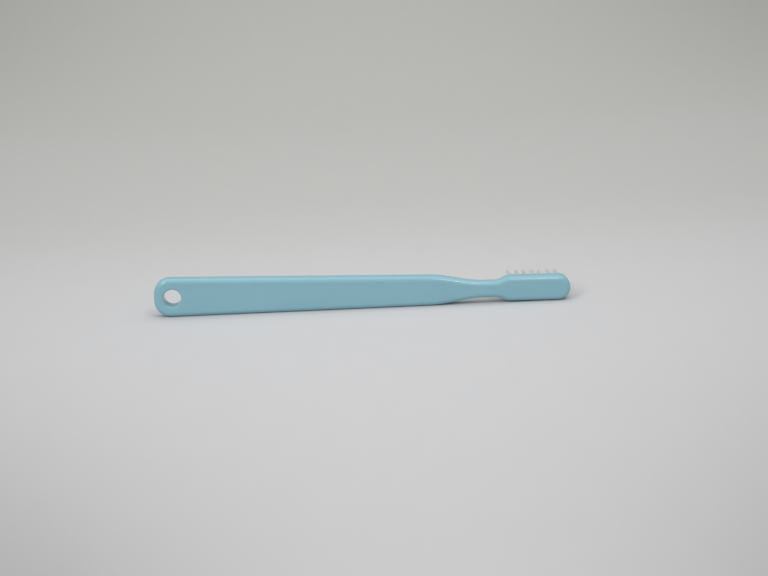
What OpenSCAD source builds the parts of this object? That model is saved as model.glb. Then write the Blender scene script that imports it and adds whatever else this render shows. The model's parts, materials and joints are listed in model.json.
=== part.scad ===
// Manual toothbrush: a one-piece moulded handle, thirty folded nylon tufts and their metal anchors.
// The brush is drawn along X from its tail, with its flat back at Y = 0, its bristles towards +Y
// and its width along Z. It is then stood on its long lower edge.

/* [Grip] */
// Length of the straight tapering grip, from the tail end to the shoulder
grip_l = 109; // [95:0.5:125]
// Width of the tail across its corners
tail_w = 15.6; // [14:0.1:19]
// Width of the grip where the shoulder starts
shoulder_w = 12; // [11:0.1:14]
// Thickness of the grip
grip_t = 6; // [5:0.1:8]
// Radius of the grip's rounded long edges
grip_edge_r = 2; // [1:0.1:2.4]
// Radius of the tail's two corners in plan
tail_corner_r = 6.4; // [5:0.1:7]

/* [Hang hole] */
// Diameter of the hang hole
hang_d = 7; // [4:0.1:8]
// Distance of the hang hole's centre from the tail end
hang_inset = 7.3; // [6.5:0.1:20]
// Radius of the hang hole's rounded rims
hang_rim_r = 0.8; // [0.2:0.1:1.2]

/* [Neck] */
// Length of the shoulder, from the grip to the neck
shoulder_l = 21.5; // [15:0.5:30]
// Length of the straight neck
neck_l = 4.4; // [2:0.1:20]
// Width of the neck
neck_w = 6.7; // [5.5:0.1:8]
// Thickness of the neck
neck_t = 5.5; // [4.6:0.1:7]
// Radius of the neck's rounded long edges
neck_edge_r = 2; // [1:0.1:2.2]

/* [Head] */
// Length of the heel, where the neck widens to the head
heel_l = 6.2; // [5:0.1:12]
// Length of the head, from the heel to the tip
head_l = 23.9; // [23.5:0.1:32]
// Width of the head
head_w = 10; // [9.8:0.1:14]
// Thickness of the head
head_t = 5.8; // [4.8:0.1:7]
// Radius of the rounded edges of the head's back
head_edge_r = 2; // [0.8:0.1:2.2]
// Radius of the rounded edges of the head's front face, outside the tufts
head_front_edge_r = 0.9; // [0.4:0.1:1.2]

/* [Tufts] */
// Length of the bristles above the head
bristle_l = 9.5; // [7:0.1:12]
// Diameter of a tuft hole
tuft_d = 1.6; // [1.6:0.05:1.8]
// Depth of a tuft hole
tuft_depth = 3.6; // [2.8:0.1:3.8]
// Distance between tufts along a row
tuft_pitch = 3.16; // [2.6:0.02:3.2]
// Distance between rows
row_pitch = 2.1; // [2:0.01:2.3]
// Distance of an edge row's first tuft from the end of the heel
first_tuft_x = 0.4; // [0:0.1:0.6]
// Number of rows
row_count = 4; // [2:1:4]
// Number of tufts in an edge row; an inner row has one more and starts half a pitch earlier
edge_tuft_count = 7; // [4:1:7]
// Diameter round the three corners of a modelled strand
strand_d = 0.32; // [0.2:0.01:0.32]
// Least gap between the strands of a tuft at their roots
strand_gap = 0.04; // [0.02:0.01:0.04]
// How far the outer strands spread between root and tip
strand_spread_w = 0.2; // [0:0.01:0.25]

/* [Anchors] */
// Thickness of an anchor's flat wire
anchor_t = 0.25; // [0.15:0.01:0.35]
// Height of an anchor along its hole
anchor_h = 1.3; // [1:0.1:1.5]
// Thickness of the filament fold under an anchor
fold_t = 0.5; // [0.3:0.05:0.7]

/* [Hidden] */
// Gap between a tuft and its hole, and between an anchor and what holds it
seat_gap = 0.03;
// How far a cutting shape runs past the face it cuts
overrun = 1;
// How far a strand reaches into the root of its tuft
strand_root = 0.6;

// Strands of a tuft: one in the middle, then a ring inside a ring
ring_strands = [1, 5, 10];
// Bézier handle lengths of the shoulder and heel curves, as shares of their length
curve_shares = [0.36, 0.42];

// Steps round an edge's quarter circle, round the tail's corners, along the curves and round the toe
edge_steps = 7;
tail_steps = 12;
shoulder_steps = 18;
heel_steps = 14;
toe_steps = 18;

// Places along the brush, from the tail end
neck_x = grip_l + shoulder_l;
heel_x = neck_x + neck_l;
head_x = heel_x + heel_l;
brush_l = head_x + head_l;

// Angle between the brush's axis and a side of the grip, which runs from the shoulder to touch a tail corner
tail_centre = [tail_corner_r, tail_w / 2 - tail_corner_r];
side = [grip_l, shoulder_w / 2] - tail_centre;
taper = asin(tail_corner_r / norm(side)) - atan2(side.y, side.x);

// Sizes of one tuft's strands and root
strand_r = strand_d / 2;
inner_ring_r = 2 * strand_r + strand_gap;
ring_radii = [0, inner_ring_r, inner_ring_r + 1.5 * strand_r + strand_gap];
root_d = tuft_d - 2 * seat_gap;
root_l = tuft_depth - seat_gap;

row_list = [0 : row_count - 1];
function is_edge_row(row) = row == 0 || row == row_count - 1;
function tufts_in(row) = is_edge_row(row) ? edge_tuft_count : edge_tuft_count + 1;
function tuft_name(row, i) = str("tuft_row", row + 1, "_", i + 1);
function anchors_name(row) = str("anchors_row", row + 1);

// Plan outline. A station is [x, z, angle of the outward normal]; the upper half runs from tail to tip.
function arc(centre, r, from, to, steps) = [
    for (k = [0 : steps])
        let (a = from + (to - from) * k / steps)
        [centre.x + r * cos(a), centre.y + r * sin(a), a]
];

// A cubic Bézier curve between two stations, square to their normals.
function curve(start, end, share, steps) =
    let (
        pull = share * (end.x - start.x),
        p0 = [start.x, start.y],
        p1 = p0 + pull * [sin(start.z), -cos(start.z)],
        p3 = [end.x, end.y],
        p2 = p3 - pull * [sin(end.z), -cos(end.z)]
    )
    [
        for (k = [0 : steps])
            let (
                u = k / steps,
                v = 1 - u,
                p = v * v * v * p0 + 3 * v * v * u * p1 + 3 * v * u * u * p2 + u * u * u * p3,
                d = v * v * (p1 - p0) + 2 * v * u * (p2 - p1) + u * u * (p3 - p2)
            )
            [p.x, p.y, atan2(d.x, -d.y)]
    ];

upper = concat(
    arc(tail_centre, tail_corner_r, 180, 90 - taper, tail_steps),
    curve([grip_l, shoulder_w / 2, 90 - taper], [neck_x, neck_w / 2, 90], curve_shares[0], shoulder_steps),
    curve([heel_x, neck_w / 2, 90], [head_x, head_w / 2, 90], curve_shares[1], heel_steps),
    arc([brush_l - head_w / 2, 0], head_w / 2, 90, 0, toe_steps)
);
tip = len(upper) - 1;
plan = concat(upper, [for (k = [tip - 1 : -1 : 0]) [upper[k].x, -upper[k].y, -upper[k].z]]);

// A size that differs between grip, neck and head, eased over the shoulder and the heel.
function ease(u) = let (c = max(0, min(1, u))) c * c * (3 - 2 * c);
function along(x, grip, neck, head) =
    grip + (neck - grip) * ease((x - grip_l) / shoulder_l) + (head - neck) * ease((x - heel_x) / heel_l);
function thickness(x) = along(x, grip_t, neck_t, head_t);
function edge_r(x, front) = along(x, grip_edge_r, neck_edge_r, front ? head_front_edge_r : head_edge_r);

// The edge's quarter circle as [share of the radius inwards, share of the radius from the face].
edge_shares = [for (k = [0 : edge_steps]) let (a = 90 * k / edge_steps) [1 - sin(a), 1 - cos(a)]];

// One ring of points round the plan. share is a pair of edge_shares; front puts it near the front face.
function ring(share, front) = [
    for (s = plan)
        let (
            r = edge_r(s.x, front),
            inset = share.x * r,
            depth = share.y * r
        )
        [s.x - inset * cos(s.z), front ? thickness(s.x) - depth : depth, s.y - inset * sin(s.z)]
];

// The handle stands on its lower side, which the turn by the taper makes level.
standing = [for (s = plan) [s.x * cos(taper) + s.y * sin(taper), s.y * cos(taper) - s.x * sin(taper)]];
function xs(points) = [for (p = points) p.x];
function ys(points) = [for (p = points) p.y];
mid_x = (min(xs(standing)) + max(xs(standing))) / 2;
mid_y = (head_t + bristle_l) / 2;
floor_z = min(ys(standing));

module stand() {
    translate([-mid_x, -mid_y, -floor_z])
        rotate([0, taper, 0])
            children();
}

// The moulding without its holes, as one skin of rings between two flat caps.
module moulding() {
    rings = concat(
        [for (e = edge_shares) ring(e, false)],
        [for (k = [edge_steps : -1 : 0]) ring(edge_shares[k], true)]
    );
    count = len(plan);
    last = len(rings) - 1;
    function at(j, i) = j * count + i % count;
    function lower(k) = 2 * tip - k;
    sides = [
        for (j = [0 : last - 1], i = [0 : count - 1], t = [0, 1])
            t == 0 ? [at(j, i), at(j + 1, i), at(j + 1, i + 1)] : [at(j, i), at(j + 1, i + 1), at(j, i + 1)]
    ];
    back = [
        for (k = [0 : tip - 1], t = [0, 1])
            if (t == 1 || k + 1 != tip)
                t == 0 ? [k, k + 1, lower(k + 1)] : [k, lower(k + 1), lower(k)]
    ];
    front = [for (f = back) [for (k = [2 : -1 : 0]) at(last, f[k])]];
    polyhedron(points = [for (r = rings, p = r) p], faces = concat(sides, back, front));
}

// The hang hole with a rounded rim on each face, as the shape that is cut away.
module hang_hole_cut() {
    translate([hang_inset, 0, 0])
        rotate([-90, 0, 0]) {
            translate([0, 0, -overrun])
                cylinder(h = grip_t + 2 * overrun, d = hang_d, $fn = 96);
            hang_rim_cut();
            translate([0, 0, grip_t])
                mirror([0, 0, 1])
                    hang_rim_cut();
        }
}

// The flare that rounds one rim of the hang hole, with its face at Z = 0.
module hang_rim_cut() {
    rotate_extrude($fn = 96)
        difference() {
            translate([hang_d / 2 - hang_rim_r, 0])
                square([2 * hang_rim_r, hang_rim_r]);
            translate([hang_d / 2 + hang_rim_r, hang_rim_r])
                circle(r = hang_rim_r, $fn = 64);
        }
}

// Places the children at a tuft's hole, with Z out of the hole and Z = 0 on the head's face.
module at_tuft(row, i) {
    step = is_edge_row(row) ? i : i - 0.5;
    translate([head_x + first_tuft_x + step * tuft_pitch, head_t, (row - (row_count - 1) / 2) * row_pitch])
        rotate([-90, 0, 0])
            children();
}

module tuft_hole_cut() {
    translate([0, 0, -tuft_depth])
        cylinder(h = tuft_depth + overrun, d = tuft_d, $fn = 48);
}

module handle() {
    color("lightblue")
        stand()
            difference() {
                moulding();
                hang_hole_cut();
                for (row = row_list, i = [0 : tufts_in(row) - 1])
                    at_tuft(row, i)
                        tuft_hole_cut();
            }
}

// The flat anchor across its hole, standing on the fold of the tuft.
module anchor() {
    translate([0, 0, fold_t - root_l + anchor_h / 2])
        cube([tuft_d - 2 * seat_gap, anchor_t, anchor_h], center = true);
}

// The window that the folded filaments leave round their anchor.
module anchor_window() {
    translate([0, 0, fold_t - root_l + anchor_h / 2])
        cube([tuft_d + overrun, anchor_t + 2 * seat_gap, anchor_h + 2 * seat_gap], center = true);
}

// One three-sided strand, which leans outwards from a ring of the given radius.
module strand(ring_r) {
    lean = atan(strand_spread_w * ring_r / ring_radii[2] / bristle_l);
    translate([ring_r, 0, 0])
        rotate([0, lean, 0])
            translate([0, 0, -strand_root])
                rotate([0, 0, 180])
                    cylinder(h = bristle_l + strand_root, r = strand_r, $fn = 3);
}

module tuft(row, i) {
    color("whitesmoke")
        stand()
            at_tuft(row, i) {
                difference() {
                    translate([0, 0, -root_l])
                        cylinder(h = root_l, d = root_d, $fn = 12);
                    anchor_window();
                }
                for (n = [0 : len(ring_strands) - 1], k = [0 : ring_strands[n] - 1])
                    rotate([0, 0, 360 * k / ring_strands[n]])
                        strand(ring_radii[n]);
            }
}

module anchors(row) {
    color("tan")
        stand()
            for (i = [0 : tufts_in(row) - 1])
                at_tuft(row, i)
                    anchor();
}

handle();
for (row = row_list, i = [0 : tufts_in(row) - 1])
    tuft(row, i);
for (row = row_list)
    anchors(row);
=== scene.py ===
"""Looks of a one-piece manual toothbrush: glossy moulded handle, thirty nylon tufts and their wire anchors.

The handle is lofted from its plan outline, the tufts are bundles of folded filaments, and the anchors keep
their CAD shape. The sizes of the handle and the tufts are in millimetres and become metres when a mesh is
finished. The lengths of the finishes and the studio are in metres.
"""
import json
import logging
import math
import random
from dataclasses import dataclass
from enum import Enum
from typing import Iterable, Sequence

import bmesh
import bpy
from mathutils import Matrix, Vector
from mathutils.geometry import interpolate_bezier


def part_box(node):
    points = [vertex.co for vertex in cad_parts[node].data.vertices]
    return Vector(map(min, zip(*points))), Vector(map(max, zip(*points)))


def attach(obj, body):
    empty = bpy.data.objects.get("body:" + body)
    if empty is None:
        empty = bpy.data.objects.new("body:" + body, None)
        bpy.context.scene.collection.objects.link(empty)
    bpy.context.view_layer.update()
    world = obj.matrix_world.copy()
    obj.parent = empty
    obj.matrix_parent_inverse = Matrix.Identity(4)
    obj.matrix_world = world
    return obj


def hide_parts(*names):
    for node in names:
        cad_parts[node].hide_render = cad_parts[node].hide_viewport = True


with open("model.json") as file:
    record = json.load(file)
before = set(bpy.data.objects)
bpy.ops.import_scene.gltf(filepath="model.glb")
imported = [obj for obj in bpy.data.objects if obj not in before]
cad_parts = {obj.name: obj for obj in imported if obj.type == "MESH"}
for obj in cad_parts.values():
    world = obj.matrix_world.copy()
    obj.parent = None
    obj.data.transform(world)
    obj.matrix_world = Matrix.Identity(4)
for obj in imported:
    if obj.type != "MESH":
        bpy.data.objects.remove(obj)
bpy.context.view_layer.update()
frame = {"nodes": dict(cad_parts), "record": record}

LOG = logging.getLogger("toothbrush")
MM = 0.001
BODY = "root"

# Distance in millimetres at which vertices are one
MERGE = 1e-4

# Depth of a tuft hole in millimetres, which the handle's drills and the tufts share
TUFT_DEPTH = 3.6

Colour = tuple[float, float, float]
Item = bmesh.types.BMVert | bmesh.types.BMEdge | bmesh.types.BMFace


class Slot(Enum):
    """The record's material slots."""

    PLASTIC = "handle_plastic"
    NYLON = "bristle_nylon"


class Side(Enum):
    """The two broad faces of the moulding."""

    BACK = 0
    FRONT = 1


# Shader graphs


@dataclass(frozen=True)
class Pattern:
    """A noise pattern of a finish.

    scale counts its features per metre, octaves its finer layers, which fineness weighs, and stretch scales
    the object's three axes. Its patches start where the noise passes low and are full at high.
    """

    scale: float
    octaves: float = 2.0
    stretch: tuple[float, float, float] = (1.0, 1.0, 1.0)
    low: float = 0.0
    high: float = 1.0
    fineness: float = 0.55


class Sock:
    """A shader socket that turns Python arithmetic into Math nodes."""

    def __init__(self, graph: "Graph", socket: bpy.types.NodeSocket) -> None:
        """Keeps the socket and the graph it belongs to."""
        self.graph = graph
        self.socket = socket

    def math(self, operation: str, *values: "Sock | float") -> "Sock":
        """Adds one Math node.

        Args:
            operation: The Math node's operation.
            values: Its inputs, in order.

        Returns:
            The node's output.
        """
        return self.graph.out("ShaderNodeMath", {"operation": operation}, dict(enumerate(values)))

    def __add__(self, other: "Sock | float") -> "Sock":
        """The sum."""
        return self.math("ADD", self, other)

    def __sub__(self, other: "Sock | float") -> "Sock":
        """The difference."""
        return self.math("SUBTRACT", self, other)

    def __rsub__(self, other: "Sock | float") -> "Sock":
        """The difference the other way round."""
        return self.math("SUBTRACT", other, self)

    def __mul__(self, other: "Sock | float") -> "Sock":
        """The product."""
        return self.math("MULTIPLY", self, other)

    def __truediv__(self, other: "Sock | float") -> "Sock":
        """The quotient."""
        return self.math("DIVIDE", self, other)

    def __rtruediv__(self, other: "Sock | float") -> "Sock":
        """The quotient the other way round."""
        return self.math("DIVIDE", other, self)

    __radd__ = __add__
    __rmul__ = __mul__

    def least(self, limit: float, softness: float) -> "Sock":
        """The value, held below a limit that it nears smoothly."""
        return self.math("SMOOTH_MIN", self, limit, softness)

    def most(self, other: "Sock | float") -> "Sock":
        """The larger of the two."""
        return self.math("MAXIMUM", self, other)

    def band(self, low: float, high: float) -> "Sock":
        """A smooth step, which falls where low is the larger.

        Args:
            low: The value at which it is 0.
            high: The value at which it is 1.

        Returns:
            The step, between 0 and 1.
        """
        return self.graph.out(
            "ShaderNodeMapRange",
            {"interpolation_type": "SMOOTHSTEP"},
            {"Value": self, "From Min": low, "From Max": high},
        )


class Graph:
    """The node graph of one material."""

    # A Mix node's sockets for colours
    mix_inputs: tuple[int, int] = (6, 7)
    mix_output: int = 2

    def __init__(self, name: str) -> None:
        """Starts an empty material.

        Args:
            name: The material's name.
        """
        self.material = bpy.data.materials.new(name)
        self.material.use_nodes = True
        self.tree = self.material.node_tree
        self.tree.nodes.clear()

    def node(self, kind: str, settings: dict, values: dict) -> bpy.types.Node:
        """Adds a node.

        Args:
            kind: The node's type.
            settings: Its properties, which are set first.
            values: Its sockets' values or links, by name or number.

        Returns:
            The node.
        """
        made = self.tree.nodes.new(kind)
        for key, value in settings.items():
            setattr(made, key, value)
        for key, value in values.items():
            if isinstance(value, Sock):
                self.tree.links.new(value.socket, made.inputs[key])
            else:
                made.inputs[key].default_value = value
        return made

    def out(self, kind: str, settings: dict, values: dict, name: str | int = 0) -> Sock:
        """Adds a node and returns one of its outputs."""
        return Sock(self, self.node(kind, settings, values).outputs[name])

    def mix(
        self, share: Sock | float, first: Sock | Colour, second: Sock | Colour, blend: str = "MIX"
    ) -> Sock:
        """Mixes two colours.

        Args:
            share: How much of the second colour.
            first: The colour at 0.
            second: The colour at 1.
            blend: The Mix node's blend type.

        Returns:
            The mixed colour.
        """
        values = {0: share}
        for key, colour in zip(self.mix_inputs, (first, second)):
            values[key] = colour if isinstance(colour, Sock) else (*colour, 1.0)
        settings = {"data_type": "RGBA", "blend_type": blend}
        return self.out("ShaderNodeMix", settings, values, self.mix_output)

    def place(self) -> Sock:
        """The place on the object, in metres."""
        return self.out("ShaderNodeTexCoord", {}, {}, "Object")

    def parts(self) -> tuple[Sock, Sock, Sock]:
        """The place on the object as three numbers."""
        split = self.node("ShaderNodeSeparateXYZ", {}, {"Vector": self.place()})
        return tuple(Sock(self, split.outputs[axis]) for axis in range(3))

    def noise(self, pattern: Pattern) -> Sock:
        """Noise about 0.5.

        Args:
            pattern: Its scale, octaves, stretch and fineness.

        Returns:
            The noise as a number.
        """
        values = {"Scale": pattern.scale, "Detail": pattern.octaves, "Roughness": pattern.fineness}
        values["Vector"] = self.out(
            "ShaderNodeMapping", {}, {"Vector": self.place(), "Scale": pattern.stretch}
        )
        return self.out("ShaderNodeTexNoise", {"noise_dimensions": "3D"}, values)

    def patches(self, pattern: Pattern) -> Sock:
        """The patches of a pattern, from 0 between them to 1 where they are full."""
        return self.noise(pattern).band(pattern.low, pattern.high)

    def bump(self, height: Sock, distance: float, under: Sock | None = None) -> Sock:
        """A normal from a height.

        Args:
            height: The height, between 0 and 1.
            distance: What 1 stands for, in metres.
            under: The normal that it adds to, where there is one.

        Returns:
            The normal.
        """
        values = {"Height": height, "Distance": distance}
        if under is not None:
            values["Normal"] = under
        return self.out("ShaderNodeBump", {}, values)

    def principled(self, values: dict) -> bpy.types.Material:
        """Ends the graph in a Principled shader.

        Args:
            values: The shader's values or links, by name.

        Returns:
            The finished material.
        """
        shader = self.out("ShaderNodeBsdfPrincipled", {}, values)
        self.node("ShaderNodeOutputMaterial", {}, {"Surface": shader})
        return self.material


# Finishes


@dataclass(frozen=True)
class MouldedPlastic:
    """Glossy opaque light-blue plastic, straight from a polished mould."""

    tint: Colour = (0.268, 0.513, 0.602)
    pale: Colour = (0.295, 0.543, 0.631)
    streaks: Pattern = Pattern(420.0, 3.0, (0.12, 1.0, 1.0), 0.3, 0.7)
    streak_share: float = 0.35
    cloud: Pattern = Pattern(60.0, 2.0, low=0.25, high=0.75)
    cloud_share: float = 0.25
    roughness: float = 0.085
    roughness_spread: float = 0.03
    smudges: Pattern = Pattern(140.0, 4.0, low=0.42, high=0.68)
    ior: float = 1.5
    sink: Pattern = Pattern(45.0, 1.0)
    sink_depth: float = 0.00002
    grain: Pattern = Pattern(5200.0, 2.0)
    grain_depth: float = 0.0000012
    parting_y: float = -0.00465
    parting_half: float = 0.00012
    parting_height: float = 0.00002

    def material(self) -> bpy.types.Material:
        """Faint flow streaks, an uneven gloss, the finest mould grain and the mould's parting line.

        Returns:
            The material.
        """
        graph = Graph("moulded_plastic")
        paleness = graph.patches(self.streaks) * self.streak_share
        paleness = paleness + graph.patches(self.cloud) * self.cloud_share
        lowest = self.roughness - self.roughness_spread / 2
        offset = (graph.parts()[1] - self.parting_y) / self.parting_half
        normal = graph.bump(graph.noise(self.sink), self.sink_depth)
        normal = graph.bump((offset * offset).band(1.0, 0.0), self.parting_height, normal)
        normal = graph.bump(graph.noise(self.grain), self.grain_depth, normal)
        return graph.principled({
            "Base Color": graph.mix(paleness, self.tint, self.pale),
            "Roughness": graph.patches(self.smudges) * self.roughness_spread + lowest,
            "Normal": normal,
            "IOR": self.ior,
        })


@dataclass(frozen=True)
class Nylon:
    """Round drawn filament, off-white and satin."""

    core: Colour = (0.84, 0.84, 0.83)
    shade: Colour = (0.77, 0.77, 0.77)
    tone: Pattern = Pattern(2600.0, 1.0, (1.0, 0.05, 1.0), 0.3, 0.7)
    lines: Pattern = Pattern(9000.0, 2.0, (1.0, 0.02, 1.0))
    line_depth: float = 0.000002
    roughness: float = 0.4
    roughness_spread: float = 0.12
    ior: float = 1.53

    def material(self) -> bpy.types.Material:
        """A tone that differs from filament to filament, with fine draw lines along them.

        Returns:
            The material.
        """
        graph = Graph("bristle_nylon")
        lines = graph.noise(self.lines)
        return graph.principled({
            "Base Color": graph.mix(graph.patches(self.tone), self.shade, self.core),
            "Roughness": lines * self.roughness_spread + self.roughness,
            "Normal": graph.bump(lines, self.line_depth),
            "IOR": self.ior,
        })


@dataclass(frozen=True)
class AnchorWire:
    """Flat drawn wire of a pale copper alloy."""

    bright: Colour = (0.76, 0.64, 0.42)
    dull: Colour = (0.58, 0.47, 0.30)
    tarnish: Pattern = Pattern(900.0, 3.0, low=0.35, high=0.75)
    lines: Pattern = Pattern(7000.0, 2.0, (0.1, 1.0, 1.0))
    line_depth: float = 0.000004
    roughness: float = 0.3
    roughness_spread: float = 0.2

    def material(self) -> bpy.types.Material:
        """Drawn lines along the wire and a slight tarnish.

        Returns:
            The material.
        """
        graph = Graph("anchor_wire")
        lines = graph.noise(self.lines)
        return graph.principled({
            "Base Color": graph.mix(graph.patches(self.tarnish), self.bright, self.dull),
            "Metallic": 1.0,
            "Roughness": lines * self.roughness_spread + self.roughness,
            "Normal": graph.bump(lines, self.line_depth),
        })


@dataclass(frozen=True)
class Paper:
    """Matt pale sweep that the brush stands on.

    Its colour has painted shade: it turns from floor to behind and on to wall with the depth, darker where
    less light reaches the backdrop. A painted vignette shade darkens it away from the middle of a fan that
    opens from fan_start, towards its near edge, and more so in its near and far corners.
    """

    # Painted shade: behind and wall are the sheet's colour, darkened where less light reaches the backdrop
    floor: Colour = (0.628, 0.628, 0.639)
    behind: Colour = (0.570, 0.570, 0.557)
    wall: Colour = (0.473, 0.481, 0.438)
    roughness: float = 0.9
    specular: float = 0.1
    fade_start: float = 0.0
    fade_end: float = 0.19
    wall_start: float = 0.35
    wall_end: float = 0.9
    mottle: Pattern = Pattern(90.0, 5.0, (1.0, 0.5, 1.0))
    mottle_share: float = 0.03
    # Painted vignette shade: the fan and the amounts below darken the sheet to its sides, near edge and
    # corners
    fan_centre: float = 0.015
    fan_start: float = -0.474
    fan_spread: float = 0.295
    fan_near: float = -0.25
    side_limit: float = 2.3
    corner_limit: float = 1.1
    limit_softness: float = 1.0
    side_painted_shade: float = 0.070
    near_painted_shade: float = 0.13
    far_corner_painted_shade: float = 0.19
    near_corner_painted_shade: float = 0.045
    near_start: float = -0.03
    near_end: float = -0.33
    far_start: float = 0.34
    far_end: float = 0.71

    def material(self) -> bpy.types.Material:
        """Painted shade from floor to wall and a painted vignette to the sides, with the faint mottle of a
        matt sheet.

        Returns:
            The material.
        """
        graph = Graph("paper")
        across, depth, _ = graph.parts()
        # Painted shade, darker from floor to behind and on to wall with the depth
        colour = graph.mix(depth.band(self.fade_start, self.fade_end), self.floor, self.behind)
        colour = graph.mix(depth.band(self.wall_start, self.wall_end), colour, self.wall)
        # Painted vignette shade, darker away from the fan's middle, towards the near edge and in the corners
        fan = (across - self.fan_centre) / (depth.most(self.fan_near) - self.fan_start) / self.fan_spread
        side = (fan * fan).least(self.side_limit, self.limit_softness)
        near = depth.band(self.near_start, self.near_end)
        far = depth.band(self.far_start, self.far_end)
        corner = side.least(self.corner_limit, self.limit_softness) * far
        painted_shade = side * (self.side_painted_shade + near * self.near_corner_painted_shade) + near * self.near_painted_shade
        painted_shade = painted_shade + corner * self.far_corner_painted_shade
        mottle = graph.noise(self.mottle) * self.mottle_share + (1.0 - self.mottle_share / 2)
        # The mottle is the sheet's own; the painted shade darkens it
        tone = mottle * (1.0 - painted_shade)
        shade = graph.out("ShaderNodeCombineXYZ", {}, {0: tone, 1: tone, 2: tone})
        return graph.principled({
            "Base Color": graph.mix(1.0, colour, shade, "MULTIPLY"),
            "Roughness": self.roughness,
            "Specular IOR Level": self.specular,
        })


# Mesh helpers


def verts_of(items: Iterable[Item]) -> list[bmesh.types.BMVert]:
    """The vertices among an operator's results."""
    return [item for item in items if isinstance(item, bmesh.types.BMVert)]


def edges_of(items: Iterable[Item]) -> list[bmesh.types.BMEdge]:
    """The edges among an operator's results."""
    return [item for item in items if isinstance(item, bmesh.types.BMEdge)]


def object_from(name: str, bm: bmesh.types.BMesh) -> bpy.types.Object:
    """Makes an object at the origin from a bmesh and frees the bmesh.

    Args:
        name: The object's name.
        bm: The mesh, in place, which is shaded smooth.

    Returns:
        The object, linked to the scene.
    """
    for face in bm.faces:
        face.smooth = True
    mesh = bpy.data.meshes.new(name)
    bm.to_mesh(mesh)
    bm.free()
    made = bpy.data.objects.new(name, mesh)
    bpy.context.scene.collection.objects.link(made)
    return made


def draw_to(
    bm: bmesh.types.BMesh, start: bmesh.types.BMVert, places: Iterable[Vector]
) -> bmesh.types.BMVert:
    """Draws a chain of edges by extruding a vertex from place to place.

    Args:
        bm: The mesh.
        start: The vertex to go on from.
        places: Where each new vertex goes.

    Returns:
        The last vertex.
    """
    last = start
    for place in places:
        last = bmesh.ops.extrude_vert_indiv(bm, verts=[last])["verts"][0]
        last.co = place
    return last


def swing(
    bm: bmesh.types.BMesh,
    start: bmesh.types.BMVert,
    centre: Vector,
    axis: Sequence[float],
    angle: float,
    steps: int,
) -> bmesh.types.BMVert:
    """Draws an arc by spinning a vertex.

    Args:
        bm: The mesh.
        start: The vertex to go on from.
        centre: The arc's centre.
        axis: What it turns about.
        angle: How far to turn, in radians.
        steps: How many edges.

    Returns:
        The last vertex.
    """
    spun = bmesh.ops.spin(bm, geom=[start], cent=centre, axis=axis, angle=angle, steps=steps)
    return verts_of(spun["geom_last"])[0]


def ordered_ring(start: bmesh.types.BMVert) -> list[bmesh.types.BMVert]:
    """Walks round a closed ring of edges.

    Args:
        start: The vertex to start from.

    Returns:
        The ring's vertices in order.
    """
    ring, edge = [start], start.link_edges[0]
    vert = edge.other_vert(start)
    while vert is not start:
        ring.append(vert)
        edge = next(other for other in vert.link_edges if other is not edge)
        vert = edge.other_vert(vert)
    return ring


def ease(share: float) -> float:
    """A smooth step from 0 to 1."""
    held = max(0.0, min(1.0, share))
    return held * held * (3.0 - 2.0 * held)


# The handle


@dataclass(frozen=True)
class PlanSizes:
    """Driving sizes of the moulding's plan and section, in millimetres."""

    grip_l: float = 109.0
    tail_w: float = 15.6
    shoulder_w: float = 12.0
    grip_t: float = 6.0
    grip_edge_r: float = 2.0
    tail_corner_r: float = 6.4
    shoulder_l: float = 21.5
    neck_l: float = 4.4
    neck_w: float = 6.7
    neck_t: float = 5.5
    neck_edge_r: float = 2.0
    heel_l: float = 6.2
    head_l: float = 23.9
    head_w: float = 10.0
    head_t: float = 5.8
    head_edge_r: float = 2.0
    head_front_edge_r: float = 0.9
    hang_inset: float = 7.3
    hang_rim_r: float = 0.8
    shoulder_share: float = 0.36
    heel_share: float = 0.42

    @property
    def neck_x(self) -> float:
        """Where the neck starts."""
        return self.grip_l + self.shoulder_l

    @property
    def heel_x(self) -> float:
        """Where the heel starts."""
        return self.neck_x + self.neck_l

    @property
    def head_x(self) -> float:
        """Where the head starts."""
        return self.heel_x + self.heel_l

    @property
    def toe_x(self) -> float:
        """Where the round toe starts."""
        return self.head_x + self.head_l - self.head_w / 2

    @property
    def tail_centre(self) -> Vector:
        """Centre of the upper tail corner."""
        return Vector((self.tail_corner_r, 0, self.tail_w / 2 - self.tail_corner_r))

    @property
    def taper(self) -> float:
        """Angle between the brush's axis and a side of the grip, in radians."""
        side = Vector((self.grip_l, 0, self.shoulder_w / 2)) - self.tail_centre
        return math.asin(self.tail_corner_r / side.length) - math.atan2(side.z, side.x)

    def along(self, x: float, grip: float, neck: float, head: float) -> float:
        """A size that eases from grip to neck over the shoulder and on to the head over the heel.

        Args:
            x: The place along the brush.
            grip: The size on the grip.
            neck: The size on the neck.
            head: The size on the head.

        Returns:
            The size at that place.
        """
        to_neck = ease((x - self.grip_l) / self.shoulder_l)
        to_head = ease((x - self.heel_x) / self.heel_l)
        return grip + (neck - grip) * to_neck + (head - neck) * to_head

    def thickness(self, x: float) -> float:
        """Thickness at a place along the brush."""
        return self.along(x, self.grip_t, self.neck_t, self.head_t)

    def edge_r(self, x: float, side: Side) -> float:
        """Radius of a face's rounded edges at a place along the brush."""
        head = self.head_edge_r if side is Side.BACK else self.head_front_edge_r
        return self.along(x, self.grip_edge_r, self.neck_edge_r, head)


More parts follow.
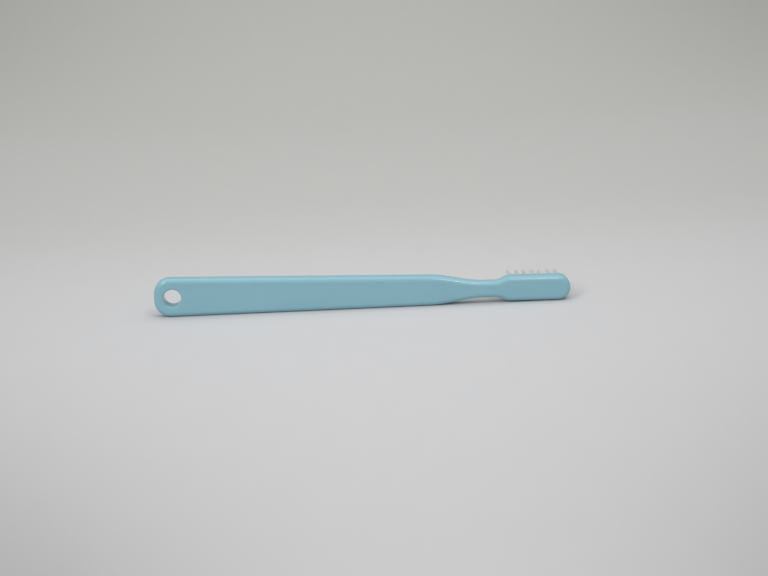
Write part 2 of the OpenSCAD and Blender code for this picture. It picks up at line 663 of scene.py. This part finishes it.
@dataclass(frozen=True)
class Handle:
    """The one-piece moulding, from tail to toe, with its hang hole and tuft holes."""

    sizes: PlanSizes = PlanSizes()
    finish: MouldedPlastic = MouldedPlastic()
    tail_steps: int = 24
    curve_steps: int = 40
    heel_steps: int = 26
    toe_steps: int = 26
    edge_steps: int = 10
    rim_steps: int = 8
    bore_steps: int = 96
    tuft_hole_steps: int = 36
    tuft_hole_d: float = 1.6
    overrun: float = 1.0
    tuck_share: float = 0.002
    sharp_angle: float = math.radians(35)

    def draw_plan(self, bm: bmesh.types.BMesh) -> list[bmesh.types.BMVert]:
        """Draws the upper half of the outline, mirrors it and closes it across the tail.

        Args:
            bm: The mesh to draw in.

        Returns:
            The closed ring, from the tail's upper corner.
        """
        sizes = self.sizes
        plan_axis = (0, 1, 0)
        start = bm.verts.new(sizes.tail_centre - Vector((sizes.tail_corner_r, 0, 0)))
        corner_angle = math.pi / 2 + sizes.taper
        last = swing(bm, start, sizes.tail_centre, plan_axis, corner_angle, self.tail_steps)
        shoulder = Vector((sizes.grip_l, 0, sizes.shoulder_w / 2))
        last = draw_to(bm, last, [shoulder])
        along_grip = Vector((math.cos(sizes.taper), 0, -math.sin(sizes.taper)))
        neck = Vector((sizes.neck_x, 0, sizes.neck_w / 2))
        pull = sizes.shoulder_share * sizes.shoulder_l
        last = draw_to(bm, last, self.curve(shoulder, along_grip * pull, neck, pull, self.curve_steps))
        heel = Vector((sizes.heel_x, 0, sizes.neck_w / 2))
        last = draw_to(bm, last, [heel])
        head = Vector((sizes.head_x, 0, sizes.head_w / 2))
        pull = sizes.heel_share * sizes.heel_l
        last = draw_to(bm, last, self.curve(heel, Vector((pull, 0, 0)), head, pull, self.heel_steps))
        toe = Vector((sizes.toe_x, 0, sizes.head_w / 2))
        last = draw_to(bm, last, [toe])
        tip = swing(bm, last, Vector((sizes.toe_x, 0, 0)), plan_axis, math.pi / 2, self.toe_steps)
        tip.co.z = 0.0
        half = bm.verts[:] + bm.edges[:]
        bmesh.ops.mirror(bm, geom=half, matrix=Matrix.Identity(4), merge_dist=MERGE, axis="Z")
        bmesh.ops.remove_doubles(bm, verts=bm.verts[:], dist=MERGE)
        tail = [vert for vert in bm.verts if len(vert.link_edges) == 1]
        bm.edges.new(tail)
        return ordered_ring(max(tail, key=lambda vert: vert.co.z))

    @staticmethod
    def curve(start: Vector, pull: Vector, end: Vector, end_pull: float, steps: int) -> list[Vector]:
        """Points of an S-curve that ends level, without its start."""
        arrive = end - Vector((end_pull, 0, 0))
        return interpolate_bezier(start, start + pull, arrive, end, steps + 1)[1:]

    def edge_levels(self) -> list[tuple[float, float, Side]]:
        """The steps round the back edge and then round the front edge.

        Returns:
            Each step's distance inwards and from the face, as shares of the edge's radius, and its side.
        """
        angles = [math.pi / 2 * k / self.edge_steps for k in range(self.edge_steps + 1)]
        shares = [(1 - math.sin(angle), 1 - math.cos(angle)) for angle in angles]
        back = [(*share, Side.BACK) for share in shares]
        return back + [(*share, Side.FRONT) for share in reversed(shares)]

    def raise_walls(self, bm: bmesh.types.BMesh, ring: list[bmesh.types.BMVert]) -> None:
        """Extrudes the plan round the back edge, up the wall and round the front edge, and closes the faces.

        Args:
            bm: The mesh with the plan in it.
            ring: The plan's vertices in order.
        """
        if ring[1].co.z < ring[0].co.z:
            ring = [ring[0], *reversed(ring[1:])]
        normals = []
        for k, vert in enumerate(ring):
            chord = ring[(k + 1) % len(ring)].co - ring[k - 1].co
            normals.append(Vector((-chord.z, 0, chord.x)).normalized())
        plan = [vert.co.copy() for vert in ring]
        levels = self.edge_levels()
        for number, (inwards, from_face, side) in enumerate(levels):
            if number:
                ring = self.extrude_ring(bm, ring)
            for vert, place, normal in zip(ring, plan, normals):
                radius = self.sizes.edge_r(place.x, side)
                depth = from_face * radius
                vert.co = place - normal * inwards * radius
                vert.co.y = depth if side is Side.BACK else self.sizes.thickness(place.x) - depth
            if number in (0, len(levels) - 1):
                self.close_face(bm, ring)
        bmesh.ops.recalc_face_normals(bm, faces=bm.faces[:])

    @staticmethod
    def extrude_ring(bm: bmesh.types.BMesh, ring: list[bmesh.types.BMVert]) -> list[bmesh.types.BMVert]:
        """Extrudes a closed ring of edges.

        Args:
            bm: The mesh.
            ring: The ring's vertices in order.

        Returns:
            The new ring's vertices in the same order.
        """
        edges = [bm.edges.get((vert, ring[(k + 1) % len(ring)])) for k, vert in enumerate(ring)]
        fresh = set(verts_of(bmesh.ops.extrude_edge_only(bm, edges=edges)["geom"]))
        grown = []
        for vert in ring:
            others = (edge.other_vert(vert) for edge in vert.link_edges)
            grown.append(next(other for other in others if other in fresh))
        return grown

    @staticmethod
    def close_face(bm: bmesh.types.BMesh, ring: list[bmesh.types.BMVert]) -> None:
        """Bridges the ring's halves, so that the face can follow the thickness, and closes the toe.

        Args:
            bm: The mesh.
            ring: The face's vertices in order, from the tail's upper corner.
        """
        tip = len(ring) // 2
        upper = [bm.edges.get((ring[k], ring[k + 1])) for k in range(tip - 1)]
        lower = [bm.edges.get((ring[-1 - k], ring[-2 - k])) for k in range(tip - 1)]
        bmesh.ops.bridge_loops(bm, edges=upper + lower)
        bmesh.ops.contextual_create(bm, geom=ring[tip - 1 : tip + 2])

    def hang_cutter(self, hang_r: float) -> bmesh.types.BMesh:
        """A plug with a flared lip at each end, which cuts the hang hole and rounds its rims.

        Args:
            hang_r: Radius of the hang hole.

        Returns:
            The plug, which sticks out of both faces, with its lips tucked just past them.
        """
        sizes = self.sizes
        lip_x = hang_r + sizes.hang_rim_r
        tuck = sizes.hang_rim_r * self.tuck_share
        back_y, front_y = -self.overrun, sizes.grip_t + self.overrun
        bore_start, bore_end = sizes.hang_rim_r - tuck, sizes.grip_t - sizes.hang_rim_r + tuck
        bm = bmesh.new()
        start = bm.verts.new((0, back_y, 0))
        last = draw_to(bm, start, [Vector((lip_x, back_y, 0)), Vector((lip_x, -tuck, 0))])
        last = self.draw_lip(bm, last, Vector((lip_x, bore_start, 0)))
        last = draw_to(bm, last, [Vector((hang_r, bore_end, 0))])
        last = self.draw_lip(bm, last, Vector((lip_x, bore_end, 0)))
        draw_to(bm, last, [Vector((lip_x, front_y, 0)), Vector((0, front_y, 0))])
        bmesh.ops.spin(
            bm,
            geom=bm.verts[:] + bm.edges[:],
            cent=(0, 0, 0),
            axis=(0, 1, 0),
            angle=math.tau,
            steps=self.bore_steps,
            use_merge=True,
        )
        bmesh.ops.remove_doubles(bm, verts=bm.verts[:], dist=MERGE)
        bmesh.ops.recalc_face_normals(bm, faces=bm.faces[:])
        bmesh.ops.translate(bm, verts=bm.verts[:], vec=(sizes.hang_inset, 0, 0))
        return bm

    def draw_lip(
        self, bm: bmesh.types.BMesh, start: bmesh.types.BMVert, centre: Vector
    ) -> bmesh.types.BMVert:
        """Draws a quarter circle of a lip in the plane of the plug's profile."""
        return swing(bm, start, centre, (0, 0, 1), -math.pi / 2, self.rim_steps)

    def tuft_cutter(self, roots: Sequence[Vector]) -> bmesh.types.BMesh:
        """One drill for each tuft hole.

        Args:
            roots: Centres of the tuft holes on the head's front face, in the moulding's own frame.

        Returns:
            The drills as one mesh.
        """
        bm = bmesh.new()
        length = TUFT_DEPTH + self.overrun
        for root in roots:
            middle = root + Vector((0, length / 2 - TUFT_DEPTH, 0))
            bmesh.ops.create_cone(
                bm,
                cap_ends=True,
                segments=self.tuft_hole_steps,
                radius1=self.tuft_hole_d / 2,
                radius2=self.tuft_hole_d / 2,
                depth=length,
                matrix=Matrix.Translation(middle) @ Matrix.Rotation(math.pi / 2, 4, "X"),
            )
        return bm

    def stance(self, bm: bmesh.types.BMesh) -> Matrix:
        """The turn that brings the moulding's lower side level and the move to where the CAD handle is.

        Args:
            bm: The moulding in its own frame.

        Returns:
            The matrix from its own frame to the row's, both in millimetres.
        """
        turn = Matrix.Rotation(self.sizes.taper, 4, "Y")
        turned = [turn @ vert.co for vert in bm.verts]
        corner = Vector(tuple(min(place[axis] for place in turned) for axis in range(3)))
        low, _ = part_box("handle")
        return Matrix.Translation(low / MM - corner) @ turn

    @staticmethod
    def cut(body: bpy.types.Object, cutters: Sequence[bpy.types.Object]) -> bmesh.types.BMesh:
        """Cuts the holes.

        Args:
            body: The solid moulding, which is used up.
            cutters: The plug and the drills, which are used up.

        Returns:
            The moulding with its holes.
        """
        for cutter in cutters:
            hole = body.modifiers.new(cutter.name, "BOOLEAN")
            hole.operation, hole.solver, hole.object = "DIFFERENCE", "EXACT", cutter
        evaluated = body.evaluated_get(bpy.context.evaluated_depsgraph_get())
        bm = bmesh.new()
        bm.from_mesh(evaluated.to_mesh())
        for spent in (*cutters, body):
            bpy.data.objects.remove(spent)
        bmesh.ops.remove_doubles(bm, verts=bm.verts[:], dist=MERGE)
        return bm

    def build(self, hang_r: float, tufts: Sequence[Vector]) -> bpy.types.Object:
        """Builds the moulding, cuts its holes and sets it where the CAD handle is.

        Args:
            hang_r: Radius of the hang hole, in millimetres.
            tufts: Middle of each tuft node, in metres in the row's frame.

        Returns:
            The finished handle.
        """
        bm = bmesh.new()
        self.raise_walls(bm, self.draw_plan(bm))
        stance = self.stance(bm)
        into = stance.inverted()
        roots = []
        for middle in tufts:
            root = into @ (middle / MM)
            roots.append(Vector((root.x, self.sizes.head_t, root.z)))
        body = object_from("handle_body", bm)
        plug = object_from("hang_cutter", self.hang_cutter(hang_r))
        drills = object_from("tuft_cutter", self.tuft_cutter(roots))
        bm = self.cut(body, (plug, drills))
        bmesh.ops.transform(bm, matrix=Matrix.Scale(MM, 4) @ stance, verts=bm.verts[:])
        made = object_from("handle_moulding", bm)
        made.data.set_sharp_from_angle(angle=self.sharp_angle)
        weighted = made.modifiers.new("true_flats", "WEIGHTED_NORMAL")
        weighted.keep_sharp = True
        made.data.materials.append(self.finish.material())
        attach(made, BODY)
        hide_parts("handle")
        return made


# The tufts


@dataclass(frozen=True)
class Filament:
    """One nylon filament, folded in half round the anchor, in millimetres."""

    d: float = 0.19
    sides: int = 6
    fold_steps: int = 4
    dome_share: float = 0.62
    dome_l_share: float = 0.3

    def build(self, layer_x: float, fold_y: float, free_y: float, tip_y: float) -> bmesh.types.BMesh:
        """A folded filament whose fold runs from one side of the anchor to the other.

        Args:
            layer_x: Distance of each leg from the anchor's middle.
            fold_y: Height at which the half turn starts.
            free_y: Height of the anchor's upper edge, over which the legs can draw together.
            tip_y: Height of the bristle's end.

        Returns:
            The filament, with its legs along Y.
        """
        bm = bmesh.new()
        turn = Matrix.Translation((layer_x, fold_y, 0)) @ Matrix.Rotation(math.pi / 2, 4, "X")
        bmesh.ops.create_circle(bm, cap_ends=False, segments=self.sides, radius=self.d / 2, matrix=turn)
        first = bm.edges[:]
        spun = bmesh.ops.spin(
            bm,
            geom=bm.verts[:] + first,
            cent=(0, fold_y, 0),
            axis=(0, 0, 1),
            angle=-math.pi,
            steps=self.fold_steps,
        )
        for edges in (first, edges_of(spun["geom_last"])):
            self.leg(bm, edges, (free_y, 0.0, tip_y - self.d * self.dome_l_share))
        bmesh.ops.recalc_face_normals(bm, faces=bm.faces[:])
        return bm

    def leg(self, bm: bmesh.types.BMesh, edges: list[bmesh.types.BMEdge], heights: Sequence[float]) -> None:
        """Extrudes one leg and rounds its end.

        Args:
            bm: The filament so far.
            edges: The ring of edges that the leg starts from.
            heights: The heights that it passes, the last of them just under its end.
        """
        for height in heights:
            edges, verts = self.grow(bm, edges)
            for vert in verts:
                vert.co.y = height
        edges, verts = self.grow(bm, edges)
        middle = sum((vert.co for vert in verts), Vector()) / len(verts)
        lift = Matrix.Translation((0, self.d * self.dome_l_share, 0))
        shrink = Matrix.Scale(self.dome_share, 4)
        bmesh.ops.transform(bm, matrix=lift @ shrink, space=Matrix.Translation(-middle), verts=verts)
        bmesh.ops.contextual_create(bm, geom=edges)

    @staticmethod
    def grow(
        bm: bmesh.types.BMesh, edges: list[bmesh.types.BMEdge]
    ) -> tuple[list[bmesh.types.BMEdge], list[bmesh.types.BMVert]]:
        """Extrudes a ring of edges in place.

        Args:
            bm: The filament so far.
            edges: The ring's edges.

        Returns:
            The new ring's edges and vertices.
        """
        grown = bmesh.ops.extrude_edge_only(bm, edges=edges)["geom"]
        verts = verts_of(grown)
        rim = set(verts)
        return [edge for edge in edges_of(grown) if set(edge.verts) <= rim], verts


@dataclass(frozen=True)
class TuftField:
    """Thirty tufts, each a bundle of folded filaments in its own hole.

    layers counts the filaments side by side in each layer, from the anchor outwards. Lengths are in
    millimetres and angles in radians. Between the anchor and the head's face the legs' places are scaled by
    mouth_x and mouth_z, and above it they part by spread, as a share of those places, up to their ends.
    """

    filament: Filament = Filament()
    finish: Nylon = Nylon()
    layers: tuple[int, ...] = (7, 6, 3)
    anchor_gap: float = 0.125
    layer_gap: float = 0.012
    pitch: float = 0.196
    layer_share: float = 0.93
    mouth_x: float = 1.25
    mouth_z: float = 1.12
    bristle_l: float = 9.5
    fold_rise: float = 0.68
    anchor_rise: float = 1.85
    spread: float = 0.2
    lean: float = math.radians(0.45)
    twist: float = 0.03
    length_spread: float = 0.05
    seed: int = 5

    def build(self, node: str, material: bpy.types.Material, rng: random.Random) -> bpy.types.Object:
        """Builds the bundle that stands for one CAD tuft.

        Args:
            node: The CAD tuft.
            material: The nylon.
            rng: Source of the small differences between filaments.

        Returns:
            The bundle.
        """
        low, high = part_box(node)
        face = high.y / MM - self.bristle_l
        middle = (low + high) / 2 / MM
        bm = bmesh.new()
        turn = Matrix.Rotation(math.pi / 2 + rng.uniform(-self.twist, self.twist), 3, "Y")
        first_x = self.anchor_gap + self.layer_gap + self.filament.d / 2
        for number, count in enumerate(self.layers):
            layer_x = first_x + number * self.pitch * self.layer_share
            for k in range(count):
                self.add_filament(bm, layer_x, (k - (count - 1) / 2) * self.pitch, rng)
        bmesh.ops.rotate(bm, cent=(0, 0, 0), matrix=turn, verts=bm.verts[:])
        bmesh.ops.translate(bm, verts=bm.verts[:], vec=(middle.x, face, middle.z))
        bmesh.ops.scale(bm, vec=(MM, MM, MM), verts=bm.verts[:])
        made = object_from(node.replace("tuft", "bristles"), bm)
        made.data.materials.append(material)
        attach(made, BODY)
        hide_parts(node)
        return made

    def add_filament(self, bm: bmesh.types.BMesh, layer_x: float, z: float, rng: random.Random) -> None:
        """Adds one folded filament, with each leg leaning a little its own way.

        Args:
            bm: The bundle, with the head's face at Y = 0.
            layer_x: Distance of the legs from the anchor's middle.
            z: Place along the anchor.
            rng: Source of the leans and lengths.
        """
        tip_y = self.bristle_l
        free_y = self.anchor_rise - TUFT_DEPTH
        single = self.filament.build(layer_x, self.fold_rise - TUFT_DEPTH, free_y, tip_y)
        bmesh.ops.translate(single, verts=single.verts[:], vec=(0, 0, z))
        lean = self.lean
        leans = {side: (rng.gauss(0, lean), rng.gauss(0, lean), rng.uniform(-1, 1)) for side in (-1, 1)}
        drawn_x = (layer_x - self.anchor_gap) * self.mouth_x - layer_x
        drawn_z = z * (self.mouth_z - 1)
        for vert in single.verts:
            side = 1 if vert.co.x > 0 else -1
            lean_x, lean_z, longer = leans[side]
            slope_x = math.tan(lean_x) + side * self.spread * layer_x / tip_y
            slope_z = math.tan(lean_z) + self.spread * z / tip_y
            up = ease((vert.co.y - free_y) / -free_y)
            above = max(0.0, vert.co.y)
            vert.co.x += up * side * drawn_x + above * slope_x
            vert.co.z += up * drawn_z + above * slope_z
            if above > tip_y / 2:
                vert.co.y += longer * self.length_spread
        mesh = bpy.data.meshes.new("filament")
        single.to_mesh(mesh)
        single.free()
        bm.from_mesh(mesh)
        bpy.data.meshes.remove(mesh)

    def build_all(self, nodes: Iterable[str]) -> list[bpy.types.Object]:
        """Builds every tuft.

        Args:
            nodes: The CAD tufts, in order.

        Returns:
            Their bundles.
        """
        material = self.finish.material()
        rng = random.Random(self.seed)
        return [self.build(node, material, rng) for node in nodes]


@dataclass(frozen=True)
class Anchors:
    """The flat wire anchors, which keep their CAD shape."""

    finish: AnchorWire = AnchorWire()

    def dress(self, nodes: dict[str, bpy.types.Object]) -> list[bpy.types.Object]:
        """Gives the anchors their metal.

        Args:
            nodes: The CAD nodes by name.

        Returns:
            The anchor nodes.
        """
        material = self.finish.material()
        dressed = [made for name, made in sorted(nodes.items()) if name.startswith("anchors_")]
        for made in dressed:
            for slot in made.material_slots:
                slot.material = material
        return dressed


# The studio


def polar(distance: float, to_right: float, above: float) -> Vector:
    """A place in front of the brush.

    Args:
        distance: How far away, in metres.
        to_right: Degrees to the right of straight ahead, as the camera sees it.
        above: Degrees above the floor.

    Returns:
        The place.
    """
    turn, rise = math.radians(to_right), math.radians(above)
    level = math.cos(rise)
    return Vector((math.sin(turn) * level, -math.cos(turn) * level, math.sin(rise))) * distance


@dataclass(frozen=True)
class Lamp:
    """A soft rectangular lamp, with its place and size in metres and its power in watts."""

    name: str
    place: Vector
    size: tuple[float, float]
    power: float

    def hang(self, aim: Vector) -> None:
        """Adds the lamp to the scene.

        Args:
            aim: What it points at.
        """
        data = bpy.data.lights.new(self.name, "AREA")
        data.shape, data.energy = "RECTANGLE", self.power
        data.size, data.size_y = self.size
        made = bpy.data.objects.new(self.name, data)
        made.location = self.place
        made.rotation_euler = (aim - self.place).to_track_quat("-Z", "Y").to_euler()
        bpy.context.scene.collection.objects.link(made)


@dataclass(frozen=True)
class Studio:
    """Pale sweep, soft lamps and the camera at the photograph's angle.

    Lengths are in metres, apart from the camera's lens and sensor, which are in millimetres.
    """

    finish: Paper = Paper()
    half_width: float = 1.6
    front: float = -1.4
    back: float = 0.9
    height: float = 1.3
    bend_r: float = 0.5
    bend_steps: int = 24
    lens: float = 75.0
    sensor: float = 36.0
    camera_place: tuple[float, float, float] = (-0.00528, -0.61261, 0.18802)
    pitch: float = math.radians(16.530)
    yaw: float = math.radians(1.291)
    roll: float = math.radians(-2.131)
    world_colour: Colour = (1.0, 1.0, 1.0)
    world_strength: float = 0.41
    aim: tuple[float, float, float] = (0.0, 0.0, 0.01)
    lamps: tuple[Lamp, ...] = (
        Lamp("overhead", Vector((0.0, -0.15, 1.35)), (2.4, 1.6), 9.0),
        Lamp("behind", Vector((0.0, 0.55, 1.25)), (2.4, 1.0), 3.7),
        Lamp("right", polar(1.1, 31.0, 57.0), (0.32, 0.16), 1.4),
        Lamp("front_left", polar(1.1, -43.5, 36.0), (0.30, 0.30), 2.5),
    )

    def sweep(self) -> None:
        """Adds a floor that curves up into a backdrop."""
        bm = bmesh.new()
        start = bm.verts.new((-self.half_width, self.front, 0))
        foot = Vector((-self.half_width, self.back - self.bend_r, 0))
        last = draw_to(bm, start, [foot])
        centre = foot + Vector((0, 0, self.bend_r))
        last = swing(bm, last, centre, (1, 0, 0), math.pi / 2, self.bend_steps)
        draw_to(bm, last, [Vector((-self.half_width, self.back, self.height))])
        grown = bmesh.ops.extrude_edge_only(bm, edges=bm.edges[:])["geom"]
        bmesh.ops.translate(bm, verts=verts_of(grown), vec=(2 * self.half_width, 0, 0))
        bmesh.ops.recalc_face_normals(bm, faces=bm.faces[:])
        made = object_from("sweep", bm)
        made.data.materials.append(self.finish.material())

    def light(self) -> None:
        """Hangs the lamps and sets an even world."""
        for lamp in self.lamps:
            lamp.hang(Vector(self.aim))
        world = bpy.data.worlds.new("studio")
        world.use_nodes = True
        shade = world.node_tree.nodes["Background"]
        shade.inputs["Color"].default_value = (*self.world_colour, 1.0)
        shade.inputs["Strength"].default_value = self.world_strength
        bpy.context.scene.world = world

    def camera(self) -> None:
        """Sets the camera where the photograph was taken from."""
        level_share, drop = math.cos(self.pitch), math.sin(self.pitch)
        ahead = Vector((math.sin(self.yaw) * level_share, math.cos(self.yaw) * level_share, -drop))
        level = Vector((math.cos(self.yaw), -math.sin(self.yaw), 0))
        upright = level.cross(ahead)
        right = level * math.cos(self.roll) + upright * math.sin(self.roll)
        up = upright * math.cos(self.roll) - level * math.sin(self.roll)
        turn = Matrix((right, up, -ahead)).transposed().to_4x4()
        data = bpy.data.cameras.new("camera")
        data.lens, data.sensor_width = self.lens, self.sensor
        made = bpy.data.objects.new("camera", data)
        made.matrix_world = Matrix.Translation(self.camera_place) @ turn
        bpy.context.scene.collection.objects.link(made)
        bpy.context.scene.camera = made


def report(made: bpy.types.Object) -> None:
    """Logs a piece and its face count."""
    LOG.info("%s: %d faces", made.name, len(made.data.polygons))


def main() -> None:
    """Builds the studio and the brush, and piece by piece."""
    logging.basicConfig(level=logging.INFO, format="%(message)s")
    studio = Studio()
    studio.camera()
    studio.sweep()
    studio.light()
    nodes = frame["nodes"]
    tufts = sorted(name for name in nodes if name.startswith("tuft_"))
    middles = [sum(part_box(name), Vector()) / 2 for name in tufts]
    hang = next(mount for mount in frame["record"]["mounts"] if mount["name"] == "hang_hole")
    report(Handle().build(hang["dims"]["r_mm"], middles))
    for made in TuftField().build_all(tufts):
        report(made)
    for made in Anchors().dress(nodes):
        report(made)
    bpy.context.scene.view_settings.view_transform = "Standard"


if __name__ == "__main__":
    main()
